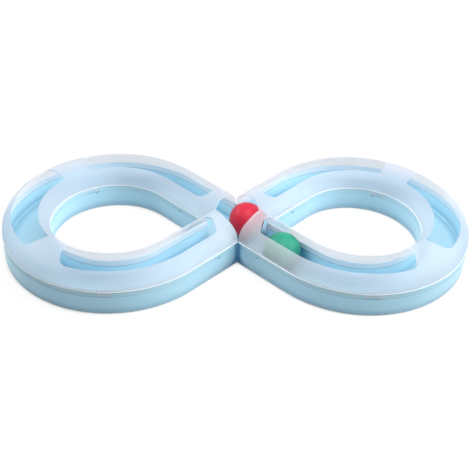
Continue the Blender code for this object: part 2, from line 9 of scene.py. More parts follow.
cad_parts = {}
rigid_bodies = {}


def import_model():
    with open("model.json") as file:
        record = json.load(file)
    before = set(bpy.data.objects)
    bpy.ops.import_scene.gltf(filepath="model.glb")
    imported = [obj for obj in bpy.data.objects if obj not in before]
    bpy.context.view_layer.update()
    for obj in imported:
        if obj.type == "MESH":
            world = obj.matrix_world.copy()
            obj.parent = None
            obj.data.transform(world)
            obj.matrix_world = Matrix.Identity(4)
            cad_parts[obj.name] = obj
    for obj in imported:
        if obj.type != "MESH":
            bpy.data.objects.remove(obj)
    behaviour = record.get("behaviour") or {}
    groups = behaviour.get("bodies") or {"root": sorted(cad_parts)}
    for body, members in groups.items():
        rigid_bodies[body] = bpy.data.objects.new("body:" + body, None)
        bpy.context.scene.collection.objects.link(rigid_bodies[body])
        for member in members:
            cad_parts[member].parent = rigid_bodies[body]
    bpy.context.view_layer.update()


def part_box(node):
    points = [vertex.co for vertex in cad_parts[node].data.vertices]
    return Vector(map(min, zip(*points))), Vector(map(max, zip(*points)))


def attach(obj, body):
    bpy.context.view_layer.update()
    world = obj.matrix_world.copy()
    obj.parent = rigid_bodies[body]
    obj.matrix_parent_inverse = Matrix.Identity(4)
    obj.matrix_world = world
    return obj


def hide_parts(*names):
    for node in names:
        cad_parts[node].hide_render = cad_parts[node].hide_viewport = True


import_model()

# Sizes in metres, the same as the solids
LOOP_RADIUS = 0.098
ARC_ANGLE = math.radians(135.0)
BASE_HALF_WIDTH = 0.0262
COVER_OVERHANG = 0.0004
SEAT_GAP = 0.0003
WALL = 0.0022
RIM_WALL = 0.00095
BAND_SETBACK = 0.00025
BAND_HEIGHT = 0.0060
WALL_FOOT = 0.0008
FLOOR_TOP = 0.0045
FLOOR = 0.0020
FLOOR_FILLET = 0.0030
RIM_HEIGHT = 0.0288
COVER_HEIGHT = 0.0505
COVER_WALL = 0.0016
ARCH_POWER = 2.4
SKIRT_HEIGHT = 0.0058
LEDGE = 0.0012

SLOT_HALF_WIDTH = 0.0147
END_SLOT_FRONT_ANGLE = math.radians(41.0)
END_SLOT_REAR_ANGLE = math.radians(43.0)
END_SLOT_CORNER = 0.0070
END_SLOT_WIDE_CORNER = 0.0095
FRONT_SLOT_INNER_ANGLE = math.radians(56.5)
FRONT_SLOT_OUTER_ANGLE = math.radians(65.9)
REAR_SLOT_ANGLE = math.radians(65.0)
FRONT_SLOT_CORNER = 0.0110
REAR_SLOT_CORNER = 0.0095
SLOT_INNER_CORNER = 0.0060
REAR_TIP = 0.0422
REAR_TIP_CORNER = 0.0085
FRONT_TIP = 0.0358
FRONT_TIP_KNEE = -0.0040
FRONT_TIP_OUTER = 0.0478
FRONT_TIP_CORNER = 0.0060

OPENING_CORNER = (0.0252, -0.0015)
OPENING_SHOULDER = (0.0206, 0.0145)
OPENING_CROTCH = 0.0001
OPENING_CORNER_RADIUS = 0.0020
OPENING_SHOULDER_RADIUS = 0.0120
OPENING_BOW = 0.0010

CLIP_WIDTH = 0.0147
CLIP_WINDOW_WIDTH = 0.0105
CLIP_WINDOW_HEIGHT = 0.0036
TONGUE_SETBACK = 0.0002
TONGUE_INSET = 0.0001
OUTER_CLIP_ANGLE = math.radians(90.0)
INNER_CLIP_ANGLE = math.radians(63.0)
DIMPLE_RADIUS = 0.0015
DIMPLE_DEPTH = 0.0005
DIMPLE_DROP = 0.0053
OUTER_DIMPLE_ALONG = 0.0560
INNER_DIMPLE_ALONG = 0.0670
PIP_RADIUS = 0.0009
PIP_ANGLE = math.radians(68.0)
PIP_DROP = 0.0013

DOVETAIL_OFFSET = 0.0140
DOVETAIL_NECK = 0.0100
DOVETAIL_HEAD = 0.0160
DOVETAIL_LENGTH = 0.0090
DOVETAIL_ROOT = 0.0040

RIB_THICKNESS = 0.0012
RIB_FOOT = 0.0012
RIB_ANGLES = (0.0, 22.0, 68.0, 94.0)
PAD_RADIUS = 0.0060
PAD_ANGLES = (45.0, 120.0)
PAD_RING_WALL = 0.0012
PAD_RING_FOOT = 0.0012

BALL_RADIUS = 0.0200
BALL_WALL = 0.0016
BALL_LAP = 0.0016

# Small roundings and the lip under the cover's arch, which the solids leave out
WALL_FOOT_ROUND = 0.0006
INNER_FOOT_ROUND = 0.0004
EDGE_ROUND = 0.0002
LIP_ROUND = 0.0004
LIP_HEIGHT = 0.0009
SHOULDER = 0.0004
PAD_ROUND = 0.0005
PAD_KNEE = 0.3
SEAM_ROUND = 0.00015
SEAM_KNEE = 0.1

# Fineness of the visible surfaces
ARC_STEP = math.radians(2.5)
ARCH_FACETS = 44
CORNER_FACETS = 12
FILLET_FACETS = 6
SMALL_FACETS = 3
SMALL_RADIUS = 0.001
SECTOR_STEPS = 4
DIMPLE_FACETS = 24
PAD_FACETS = 48
BALL_FACETS = 96
BALL_RINGS = 32
SMOOTH_ANGLE = math.radians(35.0)

LOOP_CENTRE = LOOP_RADIUS * math.sqrt(2.0)
COVER_HALF_WIDTH = BASE_HALF_WIDTH + COVER_OVERHANG
CHANNEL_HALF_WIDTH = BASE_HALF_WIDTH - WALL
MID_WALL = 0.5 * (CHANNEL_HALF_WIDTH + BASE_HALF_WIDTH)
BAND_HALF_WIDTH = BASE_HALF_WIDTH - BAND_SETBACK
REBATE_HALF_WIDTH = BAND_HALF_WIDTH - RIM_WALL
SKIRT_HALF_WIDTH = REBATE_HALF_WIDTH - SEAT_GAP
SKIRT_FOOT = RIM_HEIGHT - SKIRT_HEIGHT
RIM_TOP = RIM_HEIGHT - SEAT_GAP
REBATE_FLOOR = RIM_HEIGHT - SKIRT_HEIGHT - SEAT_GAP
FLOOR_UNDER = FLOOR_TOP - FLOOR
ARC_LENGTH = LOOP_RADIUS * ARC_ANGLE
TRACK_LENGTH = ARC_LENGTH + LOOP_RADIUS
CROTCH = COVER_HALF_WIDTH * math.sqrt(2.0)
OVERCUT = 0.01
WELD = 0.00001
SIDES = (("left", -1), ("right", 1))
ROWS = (-1, 1)

# Colours. The deep ones are painted shade for corners: REACH is how near another wall has to be,
# and below the height FADE the painted shade is weaker
BLUE = (0.45, 0.72, 0.86)
BLUE_PAINTED_SHADE = (0.04, 0.24, 0.44)
BLUE_SHADE_REACH = 0.012
BLUE_SHADE_FADE = 0.012
# A darker copy of the blue for the channel's inner walls and floor: painted shade
INSIDE = (0.43, 0.67, 0.79)
INSIDE_PAINTED_SHADE = (0.10, 0.34, 0.48)
INSIDE_SHADE_REACH = 0.018
INSIDE_SHADE_FADE = 0.001
FROST = (0.71, 0.71, 0.77)
# A paler, bluer frost for the lip and the cut walls: a painted highlight
FROST_EDGE_HIGHLIGHT = (0.76, 0.89, 0.96)
# A darker, bluer frost for the skirt inside the channel: painted shade
SKIRT_SHADED_FROST = (0.64, 0.74, 0.82)
RED = (0.50, 0.014, 0.038)
GREEN = (0.016, 0.24, 0.16)
RUBBER = (0.20, 0.21, 0.22)

# The frosted wall: the tint and share of the light that passes, and how much of it goes straight on
FROST_THROUGH = (0.86, 0.87, 0.89)
FROST_SHARE = 0.65
FROST_FORWARD = 0.78
FROST_BLUR = 0.6
FROST_IOR = 1.1

# Roughness, colour variation, scale of the grain and strength of its relief
BASE_FINISH = (0.42, 0.02, 900.0, 0.08)
FROST_FINISH = (0.65, 0.005, 700.0, 0.10)
EDGE_FINISH = (0.60, 0.005, 700.0, 0.10)
BALL_FINISH = (0.45, 0.05, 600.0, 0.15)
RUBBER_FINISH = (0.80, 0.08, 500.0, 0.30)
CLOUD_SCALE = 14.0
CLOUD_DETAIL = 3.0
CLOUD_STOPS = (0.3, 0.7)
GLOSS_VARIATION = 0.04
GRAIN_DETAIL = 2.0
GRAIN_DEPTH = 0.0002
BASE_GLOW = {
    "Subsurface Weight": 0.35,
    "Subsurface Radius": (0.6, 0.9, 1.0),
    "Subsurface Scale": 0.004,
}
BALL_GLOSS = {"Specular IOR Level": 0.25}

# The painted shade grows as the open share falls through this range, less so near the ground,
# and more at the crossing
SHADE_OPEN_RANGE = (0.45, 0.85)
OPEN_SAMPLES = 8
GROUND_SHADE_WEIGHT = 0.15
CROSSING_SHADE_WEIGHT = 1.6
CROSSING_SHADE_REACH = 0.02

# A face of the cover whose normal rises less than this counts as a cut wall
UPRIGHT = 0.04

# Floor: white to the camera and mid grey to the light
FLOOR_HALF = 3.0
FLOOR_TO_LIGHT = 0.42
FLOOR_TO_CAMERA = 0.92
FLOOR_WHITE_SHARE = 0.92
FLOOR_ROUGHNESS = 0.9
CONTACT_REACH = 0.004

# World: brighter from one direction
WORLD_DIM = 0.24
WORLD_BRIGHT = 0.66
WORLD_TOWARDS = (0.77, 0.38, 0.51)

# Name, place, size and power of each soft lamp, all aimed at the crossing
LAMPS = (
    ("right", (1.3, -0.1, 0.8), 0.9, 18.0),
    ("left", (-1.3, 0.7, 0.8), 0.9, 14.0),
    ("top", (0.06, -0.10, 0.50), 0.4, 1.8),
)

# Camera at the photograph's angle
CAMERA_DISTANCE = 1.01323
ELEVATION = 0.6559
YAW = -0.0468
ROLL = 0.0391
FOCAL_PIXELS = 874.2
IMAGE_PIXELS = 470.0
CENTRE_PIXEL = (236.17, 242.60)
SENSOR = 36.0
CLIP_START = 0.01

pieces = bpy.data.collections.new("looks")
bpy.context.scene.collection.children.link(pieces)
cutters = bpy.data.collections.new("looks_cutters")
bpy.context.scene.collection.children.link(cutters)


def add_object(name, data, group):
    item = bpy.data.objects.new(name, data)
    group.objects.link(item)
    return item


def mesh_from(bm, name):
    bmesh.ops.recalc_face_normals(bm, faces=bm.faces)
    mesh = bpy.data.meshes.new(name)
    bm.to_mesh(mesh)
    bm.free()
    return mesh


def boolean(item, operation, other):
    modifier = item.modifiers.new(operation.lower(), "BOOLEAN")
    modifier.operation = operation
    modifier.solver = "EXACT"
    modifier.object = other


def apply_modifiers(item):
    bpy.context.view_layer.update()
    graph = bpy.context.evaluated_depsgraph_get()
    mesh = bpy.data.meshes.new_from_object(item.evaluated_get(graph))
    item.modifiers.clear()
    item.data = mesh


def smooth(item):
    item.data.shade_smooth()
    item.data.set_sharp_from_angle(angle=SMOOTH_ANGLE)


def set_material(item, material):
    item.data.materials.clear()
    item.data.materials.append(material)


def track_point(side, row, along, across):
    """The place along the track's centre line from the loop's far end, and across it."""
    if along < ARC_LENGTH:
        angle = along / LOOP_RADIUS
        radius = LOOP_RADIUS + across
        return (side * (LOOP_CENTRE + radius * math.cos(angle)), row * radius * math.sin(angle))
    leg = TRACK_LENGTH - along
    return (side * (leg - across) / math.sqrt(2.0), row * (leg + across) / math.sqrt(2.0))


def off_centre(place):
    """Distance from the centre line of the track, seen from above."""
    x, y = abs(place.x), abs(place.y)
    if LOOP_CENTRE - x > y:
        return abs(x - y) / math.sqrt(2.0)
    return abs(math.hypot(x - LOOP_CENTRE, y) - LOOP_RADIUS)


def arc_turns(first, last, facets):
    turn = first.angle_signed(last)
    return [Matrix.Rotation(-turn * step / facets, 2) @ first for step in range(facets + 1)]


def rounded(corners, facets):
    """A closed outline with each corner, given as x, y and radius, rounded off."""
    points = []
    for index, (x, y, radius) in enumerate(corners):
        here = Vector((x, y))
        if radius == 0.0:
            points.append((x, y))
            continue
        before = (Vector(corners[index - 1][:2]) - here).normalized()
        after = (Vector(corners[(index + 1) % len(corners)][:2]) - here).normalized()
        half_angle = before.angle(after) / 2.0
        centre = here + (before + after).normalized() * radius / math.sin(half_angle)
        first = here + before * radius / math.tan(half_angle) - centre
        last = here + after * radius / math.tan(half_angle) - centre
        count = facets if radius > SMALL_RADIUS else SMALL_FACETS
        points += [tuple(centre + spoke) for spoke in arc_turns(first, last, count)]
    return points


def arch_points(half_width, height, foot):
    """The rounded arch over the rim, from foot to foot."""
    start = math.asin((foot / height) ** (ARCH_POWER / 2.0))
    points = []
    for step in range(ARCH_FACETS + 1):
        angle = start + (math.pi - 2.0 * start) * step / ARCH_FACETS
        cosine = math.cos(angle)
        across = math.copysign(half_width * abs(cosine) ** (2.0 / ARCH_POWER), cosine)
        up = height * max(math.sin(angle), 0.0) ** (2.0 / ARCH_POWER)
        points.append((across, RIM_HEIGHT + up))
    return points


def base_section():
    right = [
        (BASE_HALF_WIDTH, WALL_FOOT, WALL_FOOT_ROUND),
        (BASE_HALF_WIDTH, RIM_HEIGHT - BAND_HEIGHT, 0.0),
        (BAND_HALF_WIDTH, RIM_HEIGHT - BAND_HEIGHT, 0.0),
        (BAND_HALF_WIDTH, RIM_TOP, EDGE_ROUND),
        (REBATE_HALF_WIDTH, RIM_TOP, EDGE_ROUND),
        (REBATE_HALF_WIDTH, REBATE_FLOOR, 0.0),
        (CHANNEL_HALF_WIDTH, REBATE_FLOOR, EDGE_ROUND),
        (CHANNEL_HALF_WIDTH, FLOOR_TOP, FLOOR_FILLET),
    ]
    left = [(-across, up, radius) for across, up, radius in reversed(right)]
    underside = [
        (-CHANNEL_HALF_WIDTH, WALL_FOOT, INNER_FOOT_ROUND),
        (-CHANNEL_HALF_WIDTH, FLOOR_UNDER, 0.0),
        (CHANNEL_HALF_WIDTH, FLOOR_UNDER, 0.0),
        (CHANNEL_HALF_WIDTH, WALL_FOOT, INNER_FOOT_ROUND),
    ]
    return rounded(right + left + underside, FILLET_FACETS)


def cover_section():
    arch_width = COVER_HALF_WIDTH - SHOULDER
    arch_height = COVER_HEIGHT - RIM_HEIGHT
    outer = arch_points(arch_width, arch_height, LIP_HEIGHT)
    inner = arch_points(arch_width - COVER_WALL, arch_height - COVER_WALL, LEDGE)
    knee = LIP_ROUND * (1.0 - math.sqrt(0.5))
    near = [
        (-COVER_HALF_WIDTH + LIP_ROUND, RIM_HEIGHT + LIP_HEIGHT),
        (-COVER_HALF_WIDTH + knee, RIM_HEIGHT + LIP_HEIGHT - knee),
        (-COVER_HALF_WIDTH, RIM_HEIGHT + LIP_HEIGHT - LIP_ROUND),
        (-COVER_HALF_WIDTH, RIM_HEIGHT + LIP_ROUND),
        (-COVER_HALF_WIDTH + knee, RIM_HEIGHT + knee),
        (-COVER_HALF_WIDTH + LIP_ROUND, RIM_HEIGHT),
        (-SKIRT_HALF_WIDTH, RIM_HEIGHT),
        (-SKIRT_HALF_WIDTH, SKIRT_FOOT + EDGE_ROUND),
        (-SKIRT_HALF_WIDTH + EDGE_ROUND, SKIRT_FOOT),
        (-CHANNEL_HALF_WIDTH - EDGE_ROUND, SKIRT_FOOT),
        (-CHANNEL_HALF_WIDTH, SKIRT_FOOT + EDGE_ROUND),
        (-CHANNEL_HALF_WIDTH, RIM_HEIGHT + LEDGE),
    ]
    far = [(-across, up) for across, up in reversed(near)]
    return outer + near + list(reversed(inner)) + far


def swept_track(name, section, side):
    """A section swept from beyond the crossing along a leg and round the loop, and mirrored."""
    bm = bmesh.new()
    leg = Vector((side, 1.0, 0.0)).normalized()
    outwards = Vector((-side, 1.0, 0.0)).normalized()
    start = leg * -2.0 * BASE_HALF_WIDTH
    ring = []
    for across, up in section:
        ring.append(bm.verts.new(start + outwards * across + Vector((0.0, 0.0, up))))
    face = bm.faces.new(ring)
    grown = bmesh.ops.extrude_face_region(bm, geom=[face])["geom"]
    moved = [part for part in grown if isinstance(part, bmesh.types.BMVert)]
    bmesh.ops.translate(bm, verts=moved, vec=leg * (LOOP_RADIUS + 2.0 * BASE_HALF_WIDTH))
    end_face = [part for part in grown if isinstance(part, bmesh.types.BMFace)]
    turn = ARC_ANGLE + ARC_STEP
    bmesh.ops.spin(
        bm,
        geom=end_face,
        cent=(side * LOOP_CENTRE, 0.0, 0.0),
        axis=(0.0, 0.0, 1.0),
        angle=-side * turn,
        steps=round(turn / ARC_STEP),
    )
    bmesh.ops.delete(bm, geom=end_face, context="FACES_ONLY")
    item = add_object(name, mesh_from(bm, name), pieces)
    mirror = item.modifiers.new("front", "MIRROR")
    mirror.use_axis = (False, True, False)
    mirror.use_bisect_axis = (False, True, False)
    mirror.merge_threshold = WELD
    return item


def turned(name, profile, place, facets):
    """A profile turned about the vertical axis through a place."""
    edges = [(index, index + 1) for index in range(len(profile) - 1)]
    mesh = bpy.data.meshes.new(name)
    mesh.from_pydata([(x, 0.0, z) for x, z in profile], edges, [])
    item = add_object(name, mesh, pieces)
    screw = item.modifiers.new("turn", "SCREW")
    screw.axis = "Z"
    screw.angle = math.radians(360.0)
    screw.steps = facets
    screw.render_steps = facets
    screw.use_merge_vertices = True
    screw.merge_threshold = WELD
    apply_modifiers(item)
    item.data.transform(Matrix.Translation(place))
    return item


def box(name, low, high):
    low = Vector(low)
    high = Vector(high)
    place = Matrix.Translation((low + high) / 2.0) @ Matrix.Diagonal((*(high - low), 1.0))
    bm = bmesh.new()
    bmesh.ops.create_cube(bm, size=1.0)
    bmesh.ops.transform(bm, matrix=place, verts=bm.verts)
    return add_object(name, mesh_from(bm, name), cutters)


def cylinder(name, radius, low, high, facets):
    low = Vector(low)
    high = Vector(high)
    direction = high - low
    bm = bmesh.new()
    bmesh.ops.create_cone(
        bm, cap_ends=True, segments=facets, radius1=radius, radius2=radius, depth=direction.length
    )
    turn = Vector((0.0, 0.0, 1.0)).rotation_difference(direction).to_matrix().to_4x4()
    bmesh.ops.transform(bm, matrix=Matrix.Translation((low + high) / 2.0) @ turn, verts=bm.verts)
    return add_object(name, mesh_from(bm, name), cutters)


def flat_outline(name, points, low, high):
    bm = bmesh.new()
    bottom = [bm.verts.new((x, y, low)) for x, y in points]
    top = [bm.verts.new((x, y, high)) for x, y in points]
    bm.faces.new(bottom)
    bm.faces.new(top)
    for index in range(len(points)):
        following = (index + 1) % len(points)
        bm.faces.new((bottom[index], bottom[following], top[following], top[index]))
    return add_object(name, mesh_from(bm, name), cutters)


def joined(name, parts):
    bm = bmesh.new()
    for part in parts:
        bm.from_mesh(part.data)
    item = add_object(name, mesh_from(bm, name), cutters)
    for part in parts:
        bpy.data.objects.remove(part, do_unlink=True)
    return item


def on_track(side, row, outline):
    """An outline given along and across the track, bent to follow it."""
    points = []
    stride = LOOP_RADIUS * ARC_STEP
    for index, (along, across) in enumerate(outline):
        next_along, next_across = outline[(index + 1) % len(outline)]
        parts = max(1, round(abs(next_along - along) / stride))
        for step in range(parts):
            share = step / parts
            here_along = along + (next_along - along) * share
            here_across = across + (next_across - across) * share
            points.append(track_point(side, row, here_along, here_across))
    return points


def end_slot_outline(side):
    front = -END_SLOT_FRONT_ANGLE * LOOP_RADIUS
    rear = END_SLOT_REAR_ANGLE * LOOP_RADIUS
    return on_track(side, 1, rounded([
        (front, -SLOT_HALF_WIDTH, END_SLOT_CORNER),
        (rear, -SLOT_HALF_WIDTH, END_SLOT_CORNER),
        (rear, SLOT_HALF_WIDTH, END_SLOT_CORNER),
        (front, SLOT_HALF_WIDTH, END_SLOT_WIDE_CORNER),
    ], CORNER_FACETS))


def rear_slot_outline(side):
    start = REAR_SLOT_ANGLE * LOOP_RADIUS
    tip = TRACK_LENGTH - REAR_TIP
    return on_track(side, 1, rounded([
        (start, -SLOT_HALF_WIDTH, SLOT_INNER_CORNER),
        (tip, -SLOT_HALF_WIDTH, REAR_TIP_CORNER),
        (tip, SLOT_HALF_WIDTH, REAR_TIP_CORNER),
        (start, SLOT_HALF_WIDTH, REAR_SLOT_CORNER),
    ], CORNER_FACETS))


def front_slot_outline(side):
    tip = TRACK_LENGTH - FRONT_TIP
    return on_track(side, -1, rounded([
        (FRONT_SLOT_INNER_ANGLE * LOOP_RADIUS, -SLOT_HALF_WIDTH, SLOT_INNER_CORNER),
        (tip, -SLOT_HALF_WIDTH, FRONT_TIP_CORNER),
        (tip, FRONT_TIP_KNEE, FRONT_TIP_CORNER),
        (TRACK_LENGTH - FRONT_TIP_OUTER, SLOT_HALF_WIDTH, FRONT_TIP_CORNER),
        (FRONT_SLOT_OUTER_ANGLE * LOOP_RADIUS, SLOT_HALF_WIDTH, FRONT_SLOT_CORNER),
    ], CORNER_FACETS))


def opening_outline():
    """The opening over the crossing, seen from above."""
    crotch = CROTCH + OPENING_CROTCH
    start = Vector((0.0, -crotch))
    corner = Vector(OPENING_CORNER)
    across = (corner - start).normalized()
    bow = start.lerp(corner, 0.5) + Vector((across.y, -across.x)) * 2.0 * OPENING_BOW
    corners = [
        (*start, 0.0),
        (*bow, BASE_HALF_WIDTH),
        (*corner, OPENING_CORNER_RADIUS),
        (*OPENING_SHOULDER, OPENING_SHOULDER_RADIUS),
        (0.0, crotch, 0.0),
    ]
    right = [point for point in rounded(corners, CORNER_FACETS) if point[0] > OPENING_CROTCH]
    left = [(-x, y) for x, y in reversed(right)]
    return [(0.0, -crotch)] + right + [(0.0, crotch)] + left


def sector(name, side, row, angle, half_angle, inner, outer, low, high):
    """A block that follows the arc between two distances across the track."""
    half = half_angle * LOOP_RADIUS
    middle = angle * LOOP_RADIUS
    shares = [2.0 * half * step / SECTOR_STEPS for step in range(SECTOR_STEPS + 1)]
    points = [track_point(side, row, middle - half + share, inner) for share in shares]
    points += [track_point(side, row, middle + half - share, outer) for share in shares]
    return flat_outline(name, points, low, high)


def half_angle_at(width, wall):
    return width / 2.0 / (LOOP_RADIUS + wall * BASE_HALF_WIDTH)


def clip_blocks(name, side, width, inner, outer, low, high):
    """Blocks at the four clips, between two distances across the wall."""
    parts = []
    for row in ROWS:
        for angle, wall in ((OUTER_CLIP_ANGLE, 1), (INNER_CLIP_ANGLE, -1)):
            half_angle = half_angle_at(width, wall)
            near, far = sorted((wall * inner, wall * outer))
            parts.append(sector("block", side, row, angle, half_angle, near, far, low, high))
    return joined(name, parts)


def dimples(name, side):
    """The dimples of both walls and the pips of the inner wall."""
    parts = []
    height = RIM_HEIGHT - DIMPLE_DROP
    marks = (
        (1, TRACK_LENGTH - OUTER_DIMPLE_ALONG, DIMPLE_RADIUS, height),
        (-1, TRACK_LENGTH - INNER_DIMPLE_ALONG, DIMPLE_RADIUS, height),
        (-1, PIP_ANGLE * LOOP_RADIUS, PIP_RADIUS, REBATE_FLOOR - PIP_DROP),
    )
    for row in ROWS:
        for wall, along, radius, up in marks:
            inner = track_point(side, row, along, wall * (BAND_HALF_WIDTH - DIMPLE_DEPTH))
            outer = track_point(side, row, along, wall * (BASE_HALF_WIDTH + OVERCUT))
            parts.append(cylinder("dimple", radius, (*inner, up), (*outer, up), DIMPLE_FACETS))
    return joined(name, parts)


def dovetail(name, side, at, grow, low, high):
    neck = DOVETAIL_NECK / 2.0 + grow
    head = DOVETAIL_HEAD / 2.0 + grow
    tip = -side * (DOVETAIL_LENGTH + grow)
    root = side * DOVETAIL_ROOT
    points = [
        (root, at - neck), (0.0, at - neck), (tip, at - head),
        (tip, at + head), (0.0, at + neck), (root, at + neck),
    ]
    return flat_outline(name, points, low, high)


def pad_places(side):
    places = []
    for row in ROWS:
        for degrees in PAD_ANGLES:
            places.append(track_point(side, row, math.radians(degrees) * LOOP_RADIUS, 0.0))
    return places


def ribs_and_rings(name, side):
    """The ribs and the pads' rings under the floor."""
    parts = []
    reach = CHANNEL_HALF_WIDTH + WALL / 2.0
    half_angle = half_angle_at(RIB_THICKNESS, 0)
    top = FLOOR_UNDER + FLOOR / 4.0
    for row in ROWS:
        for degrees in RIB_ANGLES:
            if degrees == 0.0 and row < 0:
                continue
            angle = math.radians(degrees)
            parts.append(sector(
                "rib", side, row, angle, half_angle, -reach, reach, RIB_FOOT, top
            ))
    radius = PAD_RADIUS + SEAT_GAP + PAD_RING_WALL
    for place in pad_places(side):
        parts.append(cylinder(
            "ring", radius, (*place, PAD_RING_FOOT), (*place, top), PAD_FACETS
        ))
    return joined(name, parts)


def pad_bores(name, side):
    radius = PAD_RADIUS + SEAT_GAP
    return joined(name, [
        cylinder("bore", radius, (*place, -OVERCUT), (*place, FLOOR_UNDER), PAD_FACETS)
        for place in pad_places(side)
    ])


def other_half(name, side):
    reach = 2.0 * LOOP_CENTRE
    seam = side * SEAT_GAP / 2.0
    low_x, high_x = sorted((seam, -side * reach))
    return box(name, (low_x, -reach, -OVERCUT), (high_x, reach, COVER_HEIGHT + OVERCUT))


def make_base(side_name, side):
    base = swept_track("channel_" + side_name, base_section(), side)
    boolean(base, "DIFFERENCE", other_half("far_side_" + side_name, side))
    boolean(base, "UNION", dovetail(
        "tongue_" + side_name, side, side * DOVETAIL_OFFSET, 0.0, FLOOR_UNDER, FLOOR_TOP
    ))
    boolean(base, "UNION", ribs_and_rings("underside_" + side_name, side))
    boolean(base, "DIFFERENCE", pad_bores("bores_" + side_name, side))
    boolean(base, "DIFFERENCE", dovetail(
        "socket_" + side_name, -side, -side * DOVETAIL_OFFSET, SEAT_GAP,
        FLOOR_UNDER - OVERCUT, FLOOR_TOP + FLOOR_FILLET,
    ))
    boolean(base, "DIFFERENCE", clip_blocks(
        "notches_" + side_name, side, CLIP_WIDTH + 2.0 * SEAT_GAP,
        CHANNEL_HALF_WIDTH + SEAT_GAP, BASE_HALF_WIDTH + OVERCUT,
        REBATE_FLOOR, RIM_HEIGHT + OVERCUT,
    ))
    boolean(base, "UNION", clip_blocks(
        "tongues_" + side_name, side, CLIP_WINDOW_WIDTH - 2.0 * SEAT_GAP,
        REBATE_HALF_WIDTH + TONGUE_INSET, BAND_HALF_WIDTH - TONGUE_SETBACK,
        REBATE_FLOOR - WALL / 2.0, REBATE_FLOOR + CLIP_WINDOW_HEIGHT,
    ))
    boolean(base, "DIFFERENCE", dimples("dimples_" + side_name, side))
    apply_modifiers(base)
    smooth(base)
    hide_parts("base_" + side_name)
    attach(base, "track")
    return base


def make_cover(side_name, side, opening):
    cover = swept_track("dome_" + side_name, cover_section(), side)
    low = SKIRT_FOOT - OVERCUT
    high = COVER_HEIGHT + OVERCUT
    boolean(cover, "DIFFERENCE", other_half("beyond_" + side_name, side))
    boolean(cover, "DIFFERENCE", opening)
    for name, outline in (
        ("end_slot_", end_slot_outline(side)),
        ("rear_slot_", rear_slot_outline(side)),
        ("front_slot_", front_slot_outline(side)),
    ):
        boolean(cover, "DIFFERENCE", flat_outline(name + side_name, outline, low, high))
    boolean(cover, "UNION", clip_blocks(
        "tabs_" + side_name, side, CLIP_WIDTH, CHANNEL_HALF_WIDTH + SEAT_GAP, BAND_HALF_WIDTH,
        SKIRT_FOOT, RIM_HEIGHT + LEDGE / 2.0,
    ))
    boolean(cover, "DIFFERENCE", clip_blocks(
        "windows_" + side_name, side, CLIP_WINDOW_WIDTH, SKIRT_HALF_WIDTH,
        BASE_HALF_WIDTH + OVERCUT, low, SKIRT_FOOT + CLIP_WINDOW_HEIGHT,
    ))
    apply_modifiers(cover)
    smooth(cover)
    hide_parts("cover_" + side_name)
    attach(cover, side_name + "_cover")
    return cover


def half_shell_profile(upper):
    """The section of a ball's upper or lower shell, with its part of the lapped seam."""
    inner = BALL_RADIUS - BALL_WALL
    skin = (BALL_WALL - SEAT_GAP) / 2.0
    quarter = math.radians(90.0)
    seam = math.asin(SEAT_GAP / 2.0 / BALL_RADIUS)
    outer_arc = [quarter - (quarter - seam) * step / BALL_RINGS for step in range(BALL_RINGS + 1)]
    inner_arc = [quarter - quarter * step / BALL_RINGS for step in range(BALL_RINGS + 1)]
    outer = [(BALL_RADIUS * math.cos(a), BALL_RADIUS * math.sin(a)) for a in outer_arc]
    rim = outer.pop()
    outer += [(rim[0] - SEAM_ROUND * SEAM_KNEE, rim[1] + SEAM_ROUND), (rim[0] - SEAM_ROUND, rim[1])]
    if upper:
        lap = BALL_LAP
        edge = BALL_RADIUS - skin
        inner_start = math.asin(lap / inner)
        inside = [(inner * math.cos(a), inner * math.sin(a)) for a in inner_arc if a > inner_start]
        steps = [(edge, SEAT_GAP / 2.0), (edge, lap), (inner * math.cos(inner_start), lap)]
        profile = outer + steps + list(reversed(inside))
    else:
        lap = BALL_LAP - SEAT_GAP
        edge = inner + skin
        outer = [(x, -z) for x, z in reversed(outer)]
        inside = [(inner * math.cos(a), -inner * math.sin(a)) for a in inner_arc]
        steps = [(math.sqrt(inner ** 2 - lap ** 2), lap), (edge, lap), (edge, -SEAT_GAP / 2.0)]
        profile = inside + steps + outer
    return [(0.0 if abs(x) < WELD else x, z) for x, z in profile]


def make_ball(colour_name, material):
    low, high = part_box(colour_name + "_ball_upper")
    centre = ((low[0] + high[0]) / 2.0, (low[1] + high[1]) / 2.0, high[2] - BALL_RADIUS)
    for half_name, upper in (("upper", True), ("lower", False)):
        node = colour_name + "_ball_" + half_name
        name = colour_name + "_shell_" + half_name
        shell = turned(name, half_shell_profile(upper), centre, BALL_FACETS)
        smooth(shell)
        set_material(shell, material)
        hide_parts(node)
        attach(shell, colour_name + "_ball")


def make_pads(side_name, side, material):
    top = FLOOR_UNDER - SEAT_GAP
    profile = [
        (0.0, top),
        (PAD_RADIUS - PAD_ROUND / 2.0, top),
        (PAD_RADIUS, top - PAD_ROUND / 2.0),
        (PAD_RADIUS, PAD_ROUND),
        (PAD_RADIUS - PAD_ROUND * PAD_KNEE, PAD_ROUND * PAD_KNEE),
        (PAD_RADIUS - PAD_ROUND, 0.0),
        (0.0, 0.0),
    ]
    for number, place in enumerate(pad_places(side), 1):
        pad = turned("pad_%s_%d" % (side_name, number), profile, (*place, 0.0), PAD_FACETS)
        smooth(pad)
        set_material(pad, material)
        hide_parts("foot_pad_%s_%d" % (side_name, number))
        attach(pad, "track")


def mark_shaded_inside(item, inside):
    """The inner walls and the floor of the channel get a darker copy of the blue: painted shade."""
    item.data.materials.append(inside)
    for face in item.data.polygons:
        within = off_centre(face.center) < MID_WALL + WELD
        if within and face.center.z > FLOOR_TOP - WELD:
            face.material_index = 1


